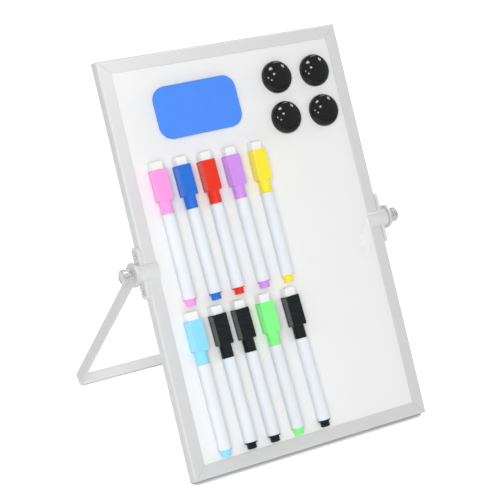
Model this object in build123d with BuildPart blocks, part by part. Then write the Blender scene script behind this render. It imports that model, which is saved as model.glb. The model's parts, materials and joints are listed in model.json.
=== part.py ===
from build123d import *
import math
import os

# Magnetic desk whiteboard easel with its stand, magnets, eraser and ten markers.
#
# Millimetres and degrees. +Z is up and the writing side faces -Y. The floor is Z = 0.
# The board leans back on its lower edge and the stand's bar rests on the floor behind it.
# Positions on the board are given as (across, up, out): across is +X, up runs up the board's face
# and out points out of the writing side. All three start at the hinge axis, in the board's middle.

os.makedirs("parts", exist_ok=True)

# ---------------------------------------------------------------- driving dimensions
# board and frame
board_width = 203.2
board_height = 304.8
board_lean = 30.0            # back from upright
frame_depth = 9.6            # front to back
rail_face = 10.0             # width of a rail seen from the front
rail_edge_radius = 1.4       # rounded outer edges
rail_lip = 0.8               # wall in front of and behind the panel
rail_inner_edge_radius = 0.25
panel_grip = 5.6             # how far the panel reaches into a rail
panel_fit = 0.05             # clearance round the panel's faces
panel_end_gap = 0.2          # clearance at the bottom of the rail's slot
sheet_thickness = 0.4
mitre_gap = 0.08             # fine joint line between two rails

# chamber in each rail, and the corner keys in it
rail_outer_wall = 1.0
chamber_width = 2.2
chamber_wall = 1.3           # from the chamber to the front and back of the rail
key_fit = 0.1
key_leg = 24.0

# hinge brackets
plate_height = 37.6
plate_thickness = 2.8
plate_corner_radius = 3.2
bracket_edge_radius = 0.5
collar_radius = 7.4
collar_reach = 6.6           # out from the frame's side
rail_clasp_fit = 0.05
screw_spacing = 26.4
screw_recess_radius = 3.1
screw_recess_depth = 1.1
screw_head_radius = 2.7
screw_head_height = 0.9
screw_head_taper = 20.0      # degrees
screw_radius = 1.3
screw_length = 6.0
screw_hole_fit = 0.1
cross_slot_length = 3.0
cross_slot_width = 0.6
cross_slot_depth = 0.5

# pivot: thumb screw, captive nut and the stand's eye
pivot_radius = 2.0
pivot_fit = 0.08
nut_across_flats = 7.0
nut_thickness = 3.2
nut_fit = 0.1
thread_fit = 0.05
tip_clearance = 0.4          # from the thumb screw's tip to the rail
hinge_face_gap = 0.2
shoulder_radius = 4.3
shoulder_thickness = 1.0
neck_radius = 3.3
neck_length = 3.0
knob_radius = 5.4
knob_thickness = 4.2
knob_chamfer = 0.6
knob_dish_radius = 3.9
knob_dish_depth = 0.35
knurl_count = 28
knurl_radius = 0.32

# stand: a U bent from flat bar
bar_width = 8.8
bar_thickness = 2.0
bar_bend_radius = 4.0        # middle of the bar's thickness
bar_edge_radius = 0.4
bar_fold_gap = 4.4           # from the frame's end to the bar when the stand is folded round it
eye_radius = 8.8

# round magnets
magnet_radius = 12.2
magnet_rim = 1.8
magnet_height = 7.2
magnet_shoulder_radius = 3.6
magnet_disc_radius = 8.0
magnet_disc_thickness = 3.0
magnet_disc_inset = 0.2
magnet_right_margin = 5.05   # from the frame's inner edge to the right column
magnet_top_margin = 10.7     # from the frame's inner edge to the top row
magnet_column_gap = 9.25
magnet_row_gap = 6.4

# eraser
eraser_length = 67.9
eraser_width = 38.2
eraser_corner_radius = 10.0
eraser_foam_thickness = 2.8
eraser_felt_thickness = 1.4
eraser_felt_inset = 0.4
eraser_edge_radius = 0.6
eraser_magnet_length = 48.0
eraser_magnet_width = 18.0
eraser_magnet_thickness = 0.8
eraser_left_margin = 26.75   # from the frame's inner edge
eraser_drop = 0.55           # below the middle of the space above the upper row
eraser_turn = 0.9            # anticlockwise

# markers, measured along the marker from the cap's mouth
barrel_radius = 4.6
barrel_length = 62.4
barrel_bore_radius = 3.6
barrel_front_wall = 1.6
grip_edge_radius = 0.3
spigot_radius = 3.85
spigot_length = 5.0
nose_length = 3.4
nose_tip_radius = 2.1
nib_radius = 1.25
nib_fit = 0.05
nib_out = 3.8                # beyond the nose
nib_in = 14.0                # behind the nose's end
reservoir_radius = 3.3
reservoir_gap = 5.8          # from the plug to the reservoir
plug_radius = 3.5
plug_length = 4.2
plug_edge_radius = 0.4
plug_flange_radius = 4.75
plug_flange_thickness = 0.8
plug_stem_length = 5.0
plug_stem_fit = 0.1
cap_neck_radius = 4.5
cap_neck_length = 9.4
cap_front_width = 11.4
cap_back_width = 10.2        # the sides draw in towards the board
cap_block_depth = 10.5       # out from the board
cap_block_length = 22.6
cap_front_corner_radius = 1.0
cap_back_corner_radius = 1.6
cap_block_end_radius = 0.8
cap_fit = 0.1                # round the spigot
cap_seat_gap = 0.1           # from the cap's mouth to the barrel
cap_bore_clearance = 1.0     # beyond the nib
axis_height = 5.8            # from the cap's back to the marker's axis
pad_width = 8.2
pad_depth = 8.2
pad_length = 6.2
pad_back_inset = 0.8         # from the cap's back to the pad
pad_seat_depth = 0.8
pad_fit = 0.1
pad_edge_radius = 0.7
cap_magnet_radius = 3.0
cap_magnet_thickness = 1.8
cap_magnet_fit = 0.05
cap_magnet_from_top = 8.0
surface_gap = 0.05           # between a loose piece's back and the sheet

lower_row_margin = 2.2       # from the frame's inner edge to the lower row's plugs
row_gap = 3.9                # from the lower row's pads to the upper row's plugs
# name, distance from the frame's left inner edge, and how far the lower end is turned towards +X
upper_row = [("pink", 15.5, 1.0), ("blue", 35.5, 1.8), ("red", 55.3, 1.4), ("purple", 76.4, 1.8),
             ("yellow", 98.3, 0.9)]
lower_row = [("light_blue", 15.1, 1.0), ("black_1", 35.6, 1.8), ("black_2", 54.7, 2.3), ("green", 75.6, 2.0),
             ("black_3", 98.0, 2.5)]

# ---------------------------------------------------------------- places worked out from them
lean = math.radians(board_lean)
half_width = board_width / 2
half_height = board_height / 2
half_depth = frame_depth / 2
half_bar = bar_width / 2
inner_half_width = half_width - rail_face
inner_half_height = half_height - rail_face

# The rounded lower back edge of the frame touches the floor.
hinge_height = ((half_height - rail_edge_radius) * math.cos(lean)
                + (half_depth - rail_edge_radius) * math.sin(lean) + rail_edge_radius)
# The folded stand goes round the frame's end, so its legs are that long.
stand_reach = half_height + bar_fold_gap + bar_thickness
# Open, the front lower edge of its bar touches the floor.
edge_reach = math.hypot(stand_reach - bar_edge_radius, half_bar - bar_edge_radius)
edge_angle = math.atan2(half_bar - bar_edge_radius, stand_reach - bar_edge_radius)
leg_angle = edge_angle + math.acos((hinge_height - bar_edge_radius) / edge_reach)
# The origin is in the middle of the footprint.
front_reach = half_height * math.sin(lean) + half_depth * math.cos(lean)
back_reach = stand_reach * math.sin(leg_angle) + half_bar * math.cos(leg_angle)
hinge_y = (front_reach - back_reach) / 2

hinge_point = Vector(0, hinge_y, hinge_height)
board = Plane(hinge_point, x_dir=(1, 0, 0), z_dir=(0, -math.cos(lean), math.sin(lean)))
across, up, out = board.x_dir, board.y_dir, board.z_dir
print("hinge axis at", hinge_point, "leg angle", round(math.degrees(leg_angle), 3))

panel_half_depth = half_depth - rail_lip - panel_fit
panel_half_width = inner_half_width + panel_grip - panel_end_gap
panel_half_height = inner_half_height + panel_grip - panel_end_gap
surface = panel_half_depth + surface_gap
slot_bottom = rail_face - panel_grip
chamber_middle = rail_outer_wall + chamber_width / 2
chamber_half_depth = half_depth - chamber_wall

# Along a marker, from the cap's mouth
nose_end = spigot_length + nose_length
nib_end = nose_end + nib_out
cap_bore_end = nib_end + cap_bore_clearance
block_end = cap_neck_length + cap_block_length
pad_end = block_end + pad_length
flange_end = -barrel_length - plug_flange_thickness
plug_end = flange_end - plug_length
plug_stem_end = plug_stem_length - barrel_length
# The lower row stands above the frame's lower inner edge, and the upper row above the lower one.
lower_row_mouth = lower_row_margin - inner_half_height - plug_end
upper_row_mouth = lower_row_mouth + pad_end + row_gap - plug_end
eraser_x = eraser_left_margin - inner_half_width + eraser_length / 2
eraser_y = (upper_row_mouth + pad_end + inner_half_height) / 2 - eraser_drop
magnet_right = inner_half_width - magnet_right_margin - magnet_radius
magnet_top = inner_half_height - magnet_top_margin - magnet_radius
magnet_columns = (magnet_right - 2 * magnet_radius - magnet_column_gap, magnet_right)
magnet_rows = (magnet_top, magnet_top - 2 * magnet_radius - magnet_row_gap)


def on_board(x, y, z, turn=0.0):
    """Plane parallel to the board's face at a place on it, turned anticlockwise."""
    place = board.from_local_coords(Vector(x, y, z))
    return Plane(place, x_dir=across.rotate(Axis((0, 0, 0), out), turn), z_dir=out)


def facing_out(side, distance):
    """Plane across the hinge axis: its X runs up the board and its Z points away from the middle."""
    return Plane(hinge_point + across * side * distance, x_dir=up, z_dir=across * side)


# ---------------------------------------------------------------- frame
def mitred_rail(along, outward, half_run, half_span):
    """One rail: a slotted, chambered profile run along one side of the frame and mitred."""
    with BuildPart() as rail:
        with BuildSketch(Plane(hinge_point, x_dir=outward, z_dir=along)) as profile:
            with Locations((half_span - rail_face / 2, 0)):
                Rectangle(rail_face, frame_depth)
            fillet(profile.vertices().group_by(Axis.X)[-1], rail_edge_radius)
            fillet(profile.vertices().group_by(Axis.X)[0], rail_inner_edge_radius)
            with Locations((half_span - slot_bottom - panel_grip / 2, 0)):
                Rectangle(panel_grip, frame_depth - 2 * rail_lip, mode=Mode.SUBTRACT)
            with Locations((half_span - chamber_middle, 0)):
                Rectangle(chamber_width, 2 * chamber_half_depth, mode=Mode.SUBTRACT)
        extrude(amount=half_run, both=True)
        for end in (-1, 1):
            corner = hinge_point + outward * half_span + along * end * (half_run - mitre_gap)
            split(bisect_by=Plane(corner, z_dir=along * end - outward), keep=Keep.BOTTOM)
    return rail


rail_top = mitred_rail(across, up, half_width, half_height)
rail_bottom = mitred_rail(across, up * -1, half_width, half_height)
side_rails = {}
for side in (-1, 1):
    rail = mitred_rail(up, across * side, half_height, half_width)
    with BuildPart() as drilled_rail:
        add(rail.part)
        with BuildSketch(facing_out(side, half_width)):
            with Locations((screw_spacing / 2, 0), (-screw_spacing / 2, 0)):
                Circle(screw_radius + screw_hole_fit)
        extrude(amount=-slot_bottom, mode=Mode.SUBTRACT)
    side_rails[side] = drilled_rail

for name, rail in (("rail_top", rail_top), ("rail_bottom", rail_bottom),
                   ("rail_left", side_rails[-1]), ("rail_right", side_rails[1])):
    rail.part.label = name
    export_step(rail.part, f"parts/{name}.step")

with BuildPart() as corner_keys:
    with BuildSketch(board):
        key_width = chamber_width - 2 * key_fit
        corner_x = half_width - chamber_middle
        corner_y = half_height - chamber_middle
        for side_x in (-1, 1):
            for side_y in (-1, 1):
                with Locations((side_x * corner_x, side_y * (corner_y + key_width / 2 - key_leg / 2))):
                    Rectangle(key_width, key_leg)
                with Locations((side_x * (corner_x + key_width / 2 - key_leg / 2), side_y * corner_y)):
                    Rectangle(key_leg, key_width)
    extrude(amount=chamber_half_depth - key_fit, both=True)
corner_keys.part.label = "corner_keys"
export_step(corner_keys.part, "parts/corner_keys.step")

# ---------------------------------------------------------------- panel
with BuildPart() as board_core:
    with BuildSketch(board):
        Rectangle(2 * panel_half_width, 2 * panel_half_height)
    extrude(amount=panel_half_depth - sheet_thickness, both=True)
board_core.part.label = "board_core"
export_step(board_core.part, "parts/board_core.step")

with BuildPart() as writing_sheets:
    for offset_out in (panel_half_depth - sheet_thickness, -panel_half_depth):
        with BuildSketch(board.offset(offset_out)):
            Rectangle(2 * panel_half_width, 2 * panel_half_height)
        extrude(amount=sheet_thickness)
writing_sheets.part.label = "writing_sheets"
export_step(writing_sheets.part, "parts/writing_sheets.step")


# ---------------------------------------------------------------- hinge brackets
def hinge_bracket(side):
    """Side plate with two lugs, a round collar, and half-round crowns that clasp the rail."""
    frame_side = facing_out(side, half_width)
    outward_axis = Axis((0, 0, 0), across * side)
    with BuildPart() as bracket:
        with BuildSketch(frame_side):
            RectangleRounded(plate_height, frame_depth, plate_corner_radius)
        extrude(amount=plate_thickness)
        fillet(bracket.faces().sort_by(outward_axis)[-1].edges(), bracket_edge_radius)
        with BuildSketch(frame_side):
            Circle(collar_radius)
        extrude(amount=collar_reach)
        fillet(bracket.faces().sort_by(outward_axis)[-1].edges(), bracket_edge_radius)
        with BuildSketch(frame_side):
            Circle(collar_radius)
            Rectangle(2 * collar_radius, frame_depth + 2 * rail_clasp_fit, mode=Mode.SUBTRACT)
        extrude(amount=-rail_face)
        with BuildSketch(frame_side):
            RegularPolygon(nut_across_flats / 2 + nut_fit, 6, major_radius=False)
        extrude(amount=nut_thickness + nut_fit, mode=Mode.SUBTRACT)
        with BuildSketch(frame_side):
            Circle(pivot_radius + pivot_fit)
            with Locations((screw_spacing / 2, 0), (-screw_spacing / 2, 0)):
                Circle(screw_radius + screw_hole_fit)
        extrude(amount=collar_reach, mode=Mode.SUBTRACT)
        with BuildSketch(frame_side.offset(plate_thickness)):
            with Locations((screw_spacing / 2, 0), (-screw_spacing / 2, 0)):
                Circle(screw_recess_radius)
        extrude(amount=-screw_recess_depth, mode=Mode.SUBTRACT)
    return bracket


for side, name in ((-1, "bracket_left"), (1, "bracket_right")):
    bracket = hinge_bracket(side)
    bracket.part.label = name
    export_step(bracket.part, f"parts/{name}.step")

with BuildPart() as bracket_screws:
    for side in (-1, 1):
        head_seat = facing_out(side, half_width + plate_thickness - screw_recess_depth)
        for place in (screw_spacing / 2, -screw_spacing / 2):
            with BuildSketch(head_seat):
                with Locations((place, 0)):
                    Circle(screw_head_radius)
            extrude(amount=screw_head_height, taper=screw_head_taper)
            with BuildSketch(head_seat):
                with Locations((place, 0)):
                    Circle(screw_radius)
            extrude(amount=-(screw_length - screw_head_height))
            with BuildSketch(head_seat.offset(screw_head_height)):
                with Locations((place, 0)):
                    Rectangle(cross_slot_length, cross_slot_width, rotation=45)
                    Rectangle(cross_slot_length, cross_slot_width, rotation=-45)
            extrude(amount=-cross_slot_depth, mode=Mode.SUBTRACT)
bracket_screws.part.label = "bracket_screws"
export_step(bracket_screws.part, "parts/bracket_screws.step")

with BuildPart() as pivot_nuts:
    for side in (-1, 1):
        with BuildSketch(facing_out(side, half_width + nut_fit)):
            RegularPolygon(nut_across_flats / 2, 6, major_radius=False)
            Circle(pivot_radius + thread_fit, mode=Mode.SUBTRACT)
        extrude(amount=nut_thickness)
pivot_nuts.part.label = "pivot_nuts"
export_step(pivot_nuts.part, "parts/pivot_nuts.step")

# ---------------------------------------------------------------- stand
leg_inside = half_width + collar_reach + hinge_face_gap
leg_outside = leg_inside + bar_thickness
bar_front = Vector(0, -math.cos(leg_angle), -math.sin(leg_angle))
# X across and Y up the leg
stand_plane = Plane(hinge_point, x_dir=(1, 0, 0), z_dir=bar_front)

with BuildPart() as stand:
    with BuildSketch(stand_plane):
        leg_middle = leg_inside + bar_thickness / 2
        bar_middle = stand_reach - bar_thickness / 2
        with BuildLine():
            FilletPolyline((-leg_middle, 0), (-leg_middle, -bar_middle), (leg_middle, -bar_middle),
                           (leg_middle, 0), radius=bar_bend_radius)
        trace(line_width=bar_thickness)
    extrude(amount=half_bar, both=True)
    fillet(stand.faces().filter_by(Axis((0, 0, 0), bar_front)).edges(), bar_edge_radius)
    for side in (-1, 1):
        with BuildSketch(facing_out(side, leg_inside)):
            Circle(eye_radius)
        extrude(amount=bar_thickness)
    for side in (-1, 1):
        with BuildSketch(facing_out(side, leg_inside)):
            Circle(pivot_radius + pivot_fit)
        extrude(amount=bar_thickness, mode=Mode.SUBTRACT)
stand.part.label = "stand"
export_step(stand.part, "parts/stand.step")


# ---------------------------------------------------------------- thumb screws
def thumb_screw(side):
    """Threaded shank, shoulder, neck and a knurled knob with a shallow dish in its end."""
    shoulder_at = leg_outside + hinge_face_gap / 2
    neck_at = shoulder_at + shoulder_thickness
    knob_at = neck_at + neck_length
    knob_end = knob_at + knob_thickness
    with BuildPart() as screw:
        with BuildSketch(Plane(hinge_point, x_dir=across * side, z_dir=out)):
            with BuildLine():
                Polyline((half_width + tip_clearance, 0), (half_width + tip_clearance, pivot_radius),
                         (shoulder_at, pivot_radius), (shoulder_at, shoulder_radius),
                         (neck_at, shoulder_radius), (neck_at, neck_radius), (knob_at, neck_radius),
                         (knob_at, knob_radius - knob_chamfer), (knob_at + knob_chamfer, knob_radius),
                         (knob_end - knob_chamfer, knob_radius), (knob_end, knob_radius - knob_chamfer),
                         (knob_end, knob_dish_radius), (knob_end - knob_dish_depth, knob_dish_radius),
                         (knob_end - knob_dish_depth, 0), close=True)
            make_face()
        revolve(axis=Axis(hinge_point, across * side))
        with BuildSketch(facing_out(side, knob_at)):
            with PolarLocations(knob_radius, knurl_count):
                Circle(knurl_radius)
        extrude(amount=knob_thickness, mode=Mode.SUBTRACT)
    return screw


for side, name in ((-1, "thumb_screw_left"), (1, "thumb_screw_right")):
    screw = thumb_screw(side)
    screw.part.label = name
    export_step(screw.part, f"parts/{name}.step")


# ---------------------------------------------------------------- round magnets
def round_magnet(x, y):
    """Domed plastic cover with a disc magnet let into its back."""
    back = on_board(x, y, surface)
    axis = Axis(back.origin, out)
    section = Plane(back.origin, x_dir=across, z_dir=up * -1)
    disc_top = magnet_disc_inset + magnet_disc_thickness
    rise = magnet_height - magnet_rim
    shoulder_centre = magnet_radius - magnet_shoulder_radius
    crown_radius = ((shoulder_centre ** 2 + rise ** 2 - magnet_shoulder_radius ** 2)
                    / (2 * (rise - magnet_shoulder_radius)))
    shoulder_arc = math.degrees(math.acos(shoulder_centre / (crown_radius - magnet_shoulder_radius)))
    with BuildPart() as cover:
        with BuildSketch(section):
            with BuildLine():
                Polyline((0, disc_top + panel_fit), (magnet_disc_radius + panel_fit, disc_top + panel_fit),
                         (magnet_disc_radius + panel_fit, 0), (magnet_radius, 0), (magnet_radius, magnet_rim))
                shoulder = JernArc((magnet_radius, magnet_rim), (0, 1), magnet_shoulder_radius, shoulder_arc)
                JernArc(shoulder @ 1, shoulder % 1, crown_radius, 90 - shoulder_arc)
                Line((0, magnet_height), (0, disc_top + panel_fit))
            make_face()
        revolve(axis=axis)
    with BuildPart() as disc:
        with BuildSketch(back.offset(magnet_disc_inset)):
            Circle(magnet_disc_radius)
        extrude(amount=magnet_disc_thickness)
    return Compound(children=[cover.part, disc.part])


magnet_places = [(x, y) for y in magnet_rows for x in magnet_columns]
for number, (x, y) in enumerate(magnet_places, start=1):
    board_magnet = round_magnet(x, y)
    board_magnet.label = f"board_magnet_{number}"
    export_step(board_magnet, f"parts/board_magnet_{number}.step")

# ---------------------------------------------------------------- eraser
eraser_back = on_board(eraser_x, eraser_y, surface, eraser_turn)
with BuildPart() as eraser_felt:
    with BuildSketch(eraser_back):
        RectangleRounded(eraser_length - 2 * eraser_felt_inset, eraser_width - 2 * eraser_felt_inset,
                         eraser_corner_radius - eraser_felt_inset)
    extrude(amount=eraser_felt_thickness)
eraser_felt.part.label = "eraser_felt"
export_step(eraser_felt.part, "parts/eraser_felt.step")

with BuildPart() as foam:
    with BuildSketch(eraser_back.offset(eraser_felt_thickness)):
        RectangleRounded(eraser_length, eraser_width, eraser_corner_radius)
    extrude(amount=eraser_foam_thickness)
    fillet(foam.faces().sort_by(Axis((0, 0, 0), out))[-1].edges(), eraser_edge_radius)
    with BuildSketch(eraser_back.offset(eraser_felt_thickness)):
        Rectangle(eraser_magnet_length + 2 * panel_fit, eraser_magnet_width + 2 * panel_fit)
    extrude(amount=eraser_magnet_thickness + panel_fit, mode=Mode.SUBTRACT)
with BuildPart() as magnet_sheet:
    with BuildSketch(eraser_back.offset(eraser_felt_thickness)):
        Rectangle(eraser_magnet_length, eraser_magnet_width)
    extrude(amount=eraser_magnet_thickness)
eraser_foam = Compound(children=[foam.part, magnet_sheet.part])
eraser_foam.label = "eraser_foam"
export_step(eraser_foam, "parts/eraser_foam.step")

# ---------------------------------------------------------------- markers
def turned(axis_plane, points):
    """Solid of revolution about the marker's axis from (radius, height) points, as a closed outline."""
    section = Plane(axis_plane.origin, x_dir=axis_plane.x_dir, z_dir=axis_plane.y_dir * -1)
    with BuildPart() as solid:
        with BuildSketch(section):
            with BuildLine():
                Polyline(*points, close=True)
            make_face()
        revolve(axis=Axis(axis_plane.origin, axis_plane.z_dir))
    return solid


def marker(name, x, y, turn):
    """The pieces of one marker, which lies on the board with its cap up."""
    place = on_board(x, y, surface + axis_height, turn)
    # Z runs up the marker, X across it, and Y points at the board.
    axis_plane = Plane(place.origin, x_dir=place.x_dir, z_dir=place.y_dir)
    towards_board = Axis((0, 0, 0), axis_plane.y_dir)
    upwards = Axis((0, 0, 0), axis_plane.z_dir)
    cap_front = axis_height - cap_block_depth
    pad_middle = axis_height - pad_back_inset - pad_depth / 2

    with BuildPart() as cap:
        with BuildSketch(axis_plane.offset(cap_neck_length)) as section:
            Polygon((cap_back_width / 2, axis_height), (-cap_back_width / 2, axis_height),
                    (-cap_front_width / 2, cap_front), (cap_front_width / 2, cap_front), align=None)
            fillet(section.vertices().group_by(Axis.Y)[0], cap_front_corner_radius)
            fillet(section.vertices().group_by(Axis.Y)[-1], cap_back_corner_radius)
        extrude(amount=cap_block_length)
        fillet(cap.faces().sort_by(upwards)[0].edges(), cap_block_end_radius)
        with BuildSketch(axis_plane.offset(cap_seat_gap)):
            Circle(cap_neck_radius)
        extrude(amount=cap_neck_length - cap_seat_gap + cap_block_end_radius)
        with BuildSketch(axis_plane):
            Circle(spigot_radius + cap_fit)
        extrude(amount=cap_bore_end, mode=Mode.SUBTRACT)
        with BuildSketch(axis_plane.offset(block_end)):
            with Locations((0, pad_middle)):
                Rectangle(pad_width + 2 * pad_fit, pad_depth + 2 * pad_fit)
        extrude(amount=-pad_seat_depth, mode=Mode.SUBTRACT)
        back = Plane(axis_plane.origin + axis_plane.y_dir * axis_height
                     + axis_plane.z_dir * (block_end - cap_magnet_from_top),
                     x_dir=axis_plane.x_dir, z_dir=axis_plane.y_dir)
        with BuildSketch(back):
            Circle(cap_magnet_radius + cap_magnet_fit)
        extrude(amount=-(cap_magnet_thickness + cap_magnet_fit), mode=Mode.SUBTRACT)
    with BuildPart() as slug:
        with BuildSketch(back):
            Circle(cap_magnet_radius)
        extrude(amount=-cap_magnet_thickness)
    cap_and_slug = Compound(children=[cap.part, slug.part])
    cap_and_slug.label = f"{name}_cap"
    export_step(cap_and_slug, f"parts/{name}_cap.step")

    with BuildPart() as pad:
        with BuildSketch(axis_plane.offset(block_end - pad_seat_depth)):
            with Locations((0, pad_middle)):
                Rectangle(pad_width, pad_depth)
        extrude(amount=pad_length + pad_seat_depth)
        fillet(pad.edges().filter_by(upwards) + pad.faces().sort_by(upwards)[-1].edges(), pad_edge_radius)
    pad.part.label = f"{name}_wiping_pad"
    export_step(pad.part, f"parts/{name}_wiping_pad.step")

    shell = turned(axis_plane, [
        (barrel_bore_radius, -barrel_length), (barrel_radius, -barrel_length),
        (barrel_radius, -grip_edge_radius), (barrel_radius - grip_edge_radius, 0), (spigot_radius, 0),
        (spigot_radius, spigot_length), (nose_tip_radius, nose_end), (nib_radius + nib_fit, nose_end),
        (nib_radius + nib_fit, -barrel_front_wall), (barrel_bore_radius, -barrel_front_wall)])
    nib = turned(axis_plane, [
        (0, nose_end - nib_in), (nib_radius, nose_end - nib_in), (nib_radius, nib_end - nib_radius),
        (nib_radius / 2, nib_end), (0, nib_end)])
    reservoir = turned(axis_plane, [
        (0, plug_stem_end + reservoir_gap), (reservoir_radius, plug_stem_end + reservoir_gap),
        (reservoir_radius, nose_end - nib_in), (0, nose_end - nib_in)])
    barrel = Compound(children=[shell.part, nib.part, reservoir.part])
    barrel.label = f"{name}_barrel"
    export_step(barrel, f"parts/{name}_barrel.step")

    plug = turned(axis_plane, [
        (0, plug_stem_end), (barrel_bore_radius - plug_stem_fit, plug_stem_end),
        (barrel_bore_radius - plug_stem_fit, -barrel_length), (plug_flange_radius, -barrel_length),
        (plug_flange_radius, flange_end), (plug_radius, flange_end),
        (plug_radius, plug_end + plug_edge_radius), (plug_radius - plug_edge_radius, plug_end), (0, plug_end)])
    plug.part.label = f"{name}_plug"
    export_step(plug.part, f"parts/{name}_plug.step")


for mouth, row in ((upper_row_mouth, upper_row), (lower_row_mouth, lower_row)):
    for marker_name, from_edge, marker_turn in row:
        marker(marker_name, from_edge - inner_half_width, mouth, marker_turn)
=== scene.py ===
"""Desk whiteboard easel: the finished surfaces, soft pieces and studio around its engineering model."""
import json
import math

import bmesh
import bpy
from bpy.props import FloatProperty, FloatVectorProperty, IntProperty, PointerProperty
from mathutils import Matrix, Vector


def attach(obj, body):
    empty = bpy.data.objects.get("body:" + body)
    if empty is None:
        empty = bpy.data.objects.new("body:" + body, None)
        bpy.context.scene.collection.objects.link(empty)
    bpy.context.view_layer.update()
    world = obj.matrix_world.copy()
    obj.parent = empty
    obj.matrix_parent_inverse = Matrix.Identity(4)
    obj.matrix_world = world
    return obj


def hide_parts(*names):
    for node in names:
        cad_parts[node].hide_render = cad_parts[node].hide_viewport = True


bl_info = {
    "name": "Desk Whiteboard Easel",
    "version": (1, 0, 0),
    "blender": (4, 5, 0),
    "location": "View3D > Sidebar > Easel",
    "description": "Finishes a magnetic desk whiteboard easel with its magnets, eraser and markers",
    "category": "Object",
}

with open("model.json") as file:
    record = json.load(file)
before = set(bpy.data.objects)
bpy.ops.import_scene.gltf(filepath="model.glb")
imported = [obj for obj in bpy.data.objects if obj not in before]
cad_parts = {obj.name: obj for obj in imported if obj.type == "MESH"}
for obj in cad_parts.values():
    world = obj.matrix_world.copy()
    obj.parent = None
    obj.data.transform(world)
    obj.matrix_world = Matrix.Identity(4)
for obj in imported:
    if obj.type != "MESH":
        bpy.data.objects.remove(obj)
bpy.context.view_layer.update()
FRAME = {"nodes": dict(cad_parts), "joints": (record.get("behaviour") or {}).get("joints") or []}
NODES = FRAME["nodes"]
MM = 0.001

# The stand's hinge is the middle of the board. Board axes: X across, Y up the face, Z out of it.
HINGE = next(j for j in FRAME["joints"] if j["name"] == "stand_swing")["pos_m"]
OUT = Vector(next(j for j in FRAME["joints"] if j["name"] == "eraser_pull")["axis"])
BOARD_TILT = math.atan2(-OUT.y, OUT.z)
BOARD = Matrix.Translation(HINGE) @ Matrix.Rotation(BOARD_TILT, 4, "X")
SHEET_SURFACE = 4.0 * MM          # from the board's middle to the backs of the loose pieces
MARKER_AXIS = 5.8 * MM            # from a marker's back to the middle of its barrel
LEG_LEAN = math.radians(34.058)   # of the open stand's legs, from upright
STAND_TURN = math.pi / 2 + LEG_LEAN
LEG_END = -153.5 * MM             # along the stand from its hinge, where the legs bend into the foot

ANODISED_METALLIC = 0.35
SMOOTH_UNDER = math.radians(40)   # a fold sharper than this stays a crisp edge
MERGE = 1e-4                      # millimetres between vertices that become one
ON_PLANE = 1e-5                   # millimetres within which a vertex lies on a cutting plane

# name, ink, across and height of the cap's mouth on the board in millimetres, and turn in degrees
MARKERS = (
    ("pink", "pink", -76.1, 36.7, 1.0),
    ("blue", "blue", -56.1, 36.7, 1.8),
    ("red", "red", -36.3, 36.7, 1.4),
    ("purple", "purple", -15.2, 36.7, 1.8),
    ("yellow", "yellow", 6.7, 36.7, 0.9),
    ("light_blue", "light_blue", -76.5, -72.8, 1.0),
    ("black_1", "black", -56.0, -72.8, 1.8),
    ("black_2", "black", -36.9, -72.8, 2.3),
    ("green", "green", -16.0, -72.8, 2.0),
    ("black_3", "black", 6.4, -72.8, 2.5),
)
INKS = {
    "pink": (0.95, 0.33, 0.74),
    "blue": (0.020, 0.158, 0.65),
    "red": (0.80, 0.035, 0.014),
    "purple": (0.63, 0.29, 0.86),
    "yellow": (0.93, 0.79, 0.045),
    "light_blue": (0.28, 0.72, 0.97),
    "black": (0.007, 0.010, 0.011),
    "green": (0.23, 0.97, 0.25),
}
# In a marker's axes, where a cap's flat side meets its front corner. The side draws in towards the board.
CAP_CORNER_START = Vector((5.64, -3.643, 0))
CAP_DRAW_IN = math.atan2(0.6, 10.5)
CAP_CORNER_RADIUS = 1.0
# Half sections of a pen's turned pieces: radius and height from the cap's mouth, in millimetres
BARREL_SECTION = (
    (3.6, -62.4), (4.45, -62.4), (4.6, -62.25), (4.6, -0.3), (4.3, 0), (3.85, 0),
    (3.85, 4.7), (3.7, 5.0), (2.25, 8.3), (2.0, 8.4),
    (1.3, 8.4), (1.3, -1.6), (3.6, -1.6), (3.6, -62.4),
)
NIB_SECTION = ((0, -5.6), (1.25, -5.6), (1.25, 10.9), (1.1, 11.5), (0.7, 12.0), (0, 12.2))
# across and up the board in millimetres, and for the eraser its turn in degrees
MAGNETS = ((40.7, 119.5), (74.35, 119.5), (40.7, 88.7), (74.35, 88.7))
ERASER = (-30.9, 108.1, 0.9)


# ---------------------------------------------------------------- settings
class EaselMetalSettings(bpy.types.PropertyGroup):
    """Finishes of the frame, the stand and the small metal parts."""
    rail_colour: FloatVectorProperty(
        name="Rails", description="Colour of the anodised rails", subtype="COLOR",
        default=(0.755, 0.755, 0.76))
    stand_colour: FloatVectorProperty(
        name="Stand", description="Colour of the flat bar", subtype="COLOR", default=(0.735, 0.735, 0.735))
    nickel_colour: FloatVectorProperty(
        name="Nickel", description="Colour of the plated screws", subtype="COLOR",
        default=(0.86, 0.865, 0.87))
    satin: FloatProperty(
        name="Satin", description="Roughness of the anodised aluminium", subtype="FACTOR",
        default=0.42, min=0, max=1)
    polish: FloatProperty(
        name="Polish", description="Roughness of the nickel plating", subtype="FACTOR",
        default=0.16, min=0, max=1)


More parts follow.
